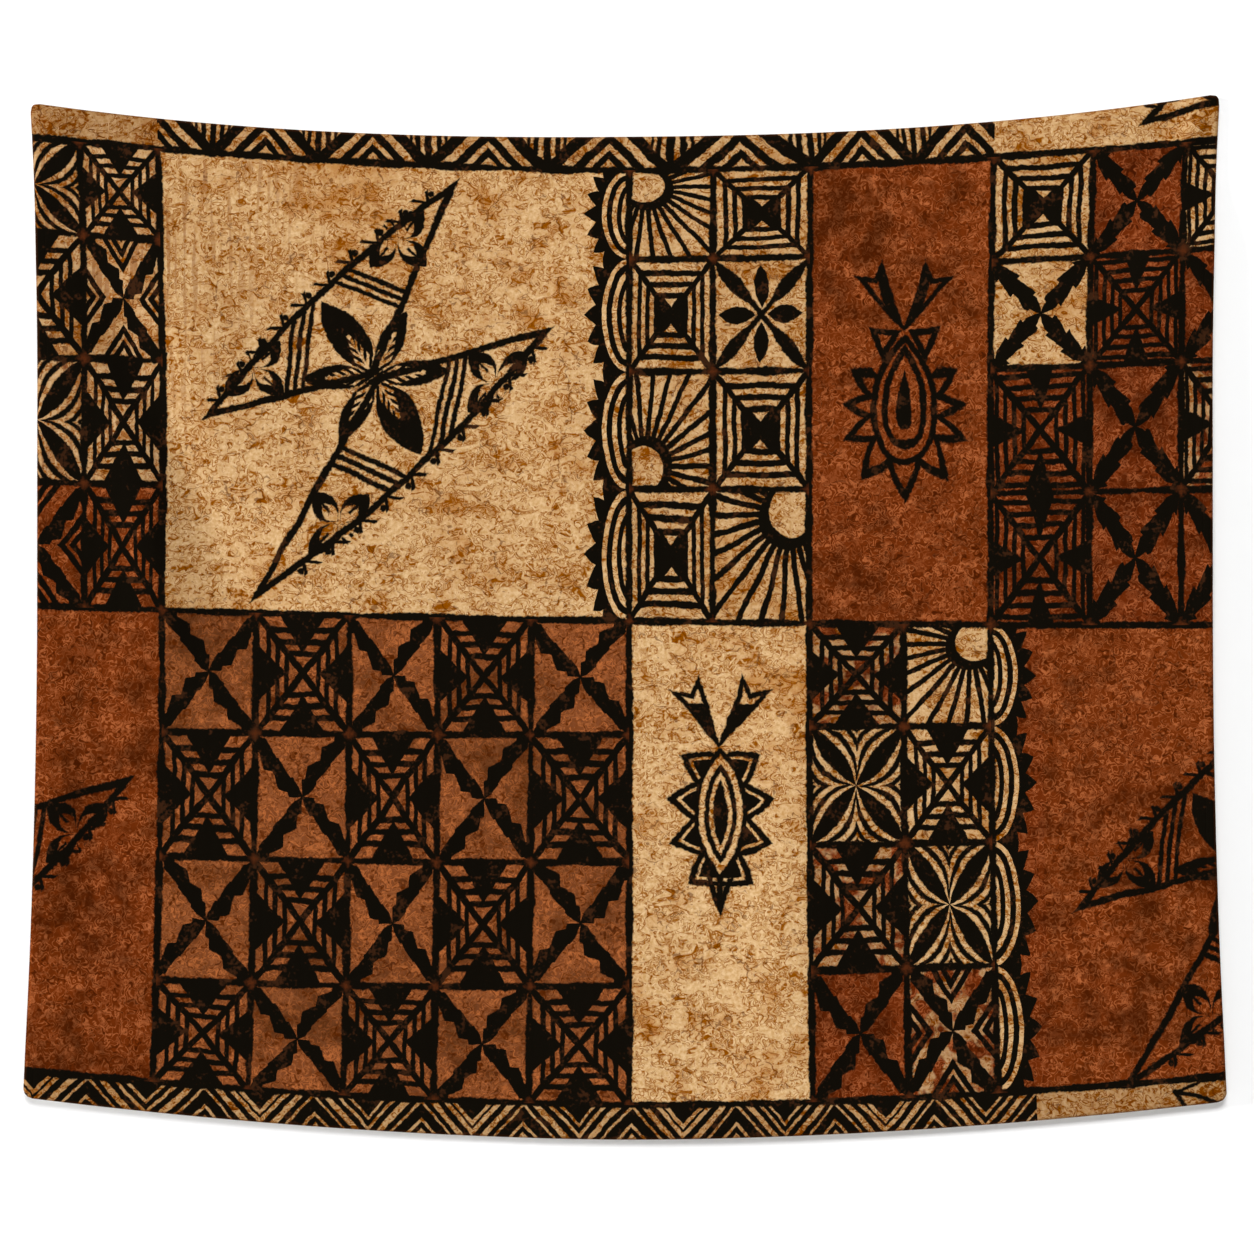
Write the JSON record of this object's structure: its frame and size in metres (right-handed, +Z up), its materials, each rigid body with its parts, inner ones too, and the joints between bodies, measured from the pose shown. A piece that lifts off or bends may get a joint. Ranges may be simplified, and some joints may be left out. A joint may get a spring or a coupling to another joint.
{
  "type": "wall tapestry",
  "caption": "Printed cloth wall hanging, a hemmed sheet held by its top corners, with a sagging top edge, drawn-in sides and soft folds, in cream, rust and black bark-cloth blocks.",
  "frame": {"origin": "middle of the top edge, at the back of the cloth, on the wall", "axes": "+X across the cloth to the viewer's right, +Y into the wall, +Z up"},
  "size_m": [1.5226, 0.0204, 1.3228],
  "materials": {
    "printed_cloth": "matte woven polyester, printed in cream, rust and black on its face, pale on its back"
  },
  "bodies": {
    "root": {"tapestry_cloth": "printed_cloth"}
  },
  "joints": []
}
